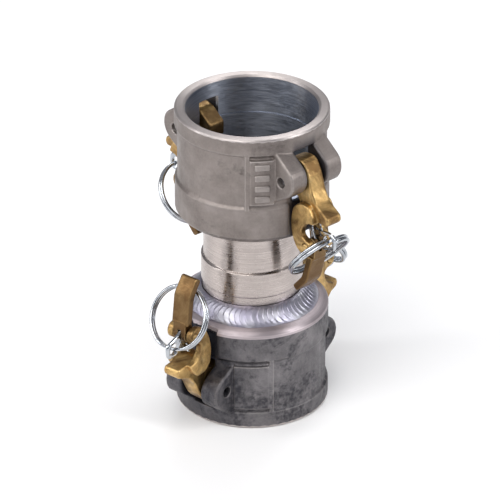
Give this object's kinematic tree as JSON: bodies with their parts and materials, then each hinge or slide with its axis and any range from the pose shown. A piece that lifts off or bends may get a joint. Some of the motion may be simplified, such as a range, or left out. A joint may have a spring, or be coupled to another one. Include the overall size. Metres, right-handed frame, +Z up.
{
  "type": "camlock coupling",
  "caption": "Camlock spool: two female cam-and-groove sockets welded back to back through a turned neck, with hinged brass cam arms, sprung latch handles and split pull rings.",
  "frame": {"origin": "on the bore axis, at the lower mouth plane", "axes": "+Z up along the bore axis to the upper mouth; the upper cam arms lie along +X and -X"},
  "size_m": [0.1206, 0.1284, 0.16],
  "materials": {
    "cast_aluminium": "sand-cast, dull",
    "cast_aluminium_aged": "sand-cast, dark mottled",
    "weld_aluminium": "bright rippled weld",
    "brass": "cast, brown patina",
    "steel": "bright plated",
    "rubber": "matt"
  },
  "bodies": {
    "spool": {"upper_coupler": "cast_aluminium", "upper_gasket": "rubber", "lower_coupler": "cast_aluminium_aged", "lower_gasket": "rubber", "weld_bead": "weld_aluminium", "upper_a_arm_pin": "steel", "upper_b_arm_pin": "steel", "lower_a_arm_pin": "steel", "lower_b_arm_pin": "steel"},
    "upper_a_arm": {"upper_a_cam_arm": "brass", "upper_a_cross_pin": "brass", "upper_a_latch_spring": "steel"},
    "upper_a_latch": {"upper_a_latch_handle": "brass", "upper_a_latch_finger": "steel"},
    "upper_a_ring": {"upper_a_pull_ring": "steel"},
    "upper_b_arm": {"upper_b_cam_arm": "brass", "upper_b_cross_pin": "brass", "upper_b_latch_spring": "steel"},
    "upper_b_latch": {"upper_b_latch_handle": "brass", "upper_b_latch_finger": "steel"},
    "upper_b_ring": {"upper_b_pull_ring": "steel"},
    "lower_a_arm": {"lower_a_cam_arm": "brass", "lower_a_cross_pin": "brass", "lower_a_latch_spring": "steel"},
    "lower_a_latch": {"lower_a_latch_handle": "brass", "lower_a_latch_finger": "steel"},
    "lower_a_ring": {"lower_a_pull_ring": "steel"},
    "lower_b_arm": {"lower_b_cam_arm": "brass", "lower_b_cross_pin": "brass", "lower_b_latch_spring": "steel"},
    "lower_b_latch": {"lower_b_latch_handle": "brass", "lower_b_latch_finger": "steel"},
    "lower_b_ring": {"lower_b_pull_ring": "steel"}
  },
  "joints": [
    {"name": "upper_a_arm_hinge", "type": "hinge", "parent": "spool", "child": "upper_a_arm", "pos_m": [0.0385, 0, 0.138], "axis": [0, -1, 0], "range_deg": [0, 110]},
    {"name": "upper_a_latch_hinge", "type": "hinge", "parent": "upper_a_arm", "child": "upper_a_latch", "pos_m": [0.0468, 0, 0.1029], "axis": [0, 1, 0], "range_deg": [0, 18], "stiffness_Nm_per_rad": 0.1, "springref_deg": -14.32},
    {"name": "upper_a_ring_swing", "type": "hinge", "parent": "upper_a_latch", "child": "upper_a_ring", "pos_m": [0.0555, 0, 0.1072], "axis": [0, -1, 0], "range_deg": [-15, 4]},
    {"name": "upper_b_arm_hinge", "type": "hinge", "parent": "spool", "child": "upper_b_arm", "pos_m": [-0.0385, 0, 0.138], "axis": [0, 1, 0], "range_deg": [0, 110]},
    {"name": "upper_b_latch_hinge", "type": "hinge", "parent": "upper_b_arm", "child": "upper_b_latch", "pos_m": [-0.0468, 0, 0.1029], "axis": [0, -1, 0], "range_deg": [0, 18], "stiffness_Nm_per_rad": 0.1, "springref_deg": -14.32},
    {"name": "upper_b_ring_swing", "type": "hinge", "parent": "upper_b_latch", "child": "upper_b_ring", "pos_m": [-0.0555, 0, 0.1072], "axis": [0, 1, 0], "range_deg": [-15, 2]},
    {"name": "lower_a_arm_hinge", "type": "hinge", "parent": "spool", "child": "lower_a_arm", "pos_m": [0.00536, -0.03812, 0.022], "axis": [0.9903, 0.1392, 0], "range_deg": [-8.6, 101.4]},
    {"name": "lower_a_latch_hinge", "type": "hinge", "parent": "lower_a_arm", "child": "lower_a_latch", "pos_m": [0.00723, -0.05145, 0.05546], "axis": [-0.9903, -0.1392, 0], "range_deg": [0, 18], "stiffness_Nm_per_rad": 0.1, "springref_deg": -14.32},
    {"name": "lower_a_ring_swing", "type": "hinge", "parent": "lower_a_latch", "child": "lower_a_ring", "pos_m": [0.00834, -0.05933, 0.04991], "axis": [0.9903, 0.1392, 0], "range_deg": [-15, 1]},
    {"name": "lower_b_arm_hinge", "type": "hinge", "parent": "spool", "child": "lower_b_arm", "pos_m": [-0.00536, 0.03812, 0.022], "axis": [-0.9903, -0.1392, 0], "range_deg": [-8.6, 101.4]},
    {"name": "lower_b_latch_hinge", "type": "hinge", "parent": "lower_b_arm", "child": "lower_b_latch", "pos_m": [-0.00723, 0.05145, 0.05546], "axis": [0.9903, 0.1392, 0], "range_deg": [0, 18], "stiffness_Nm_per_rad": 0.1, "springref_deg": -14.32},
    {"name": "lower_b_ring_swing", "type": "hinge", "parent": "lower_b_latch", "child": "lower_b_ring", "pos_m": [-0.00834, 0.05933, 0.04991], "axis": [-0.9903, -0.1392, 0], "range_deg": [-12, 6]}
  ]
}
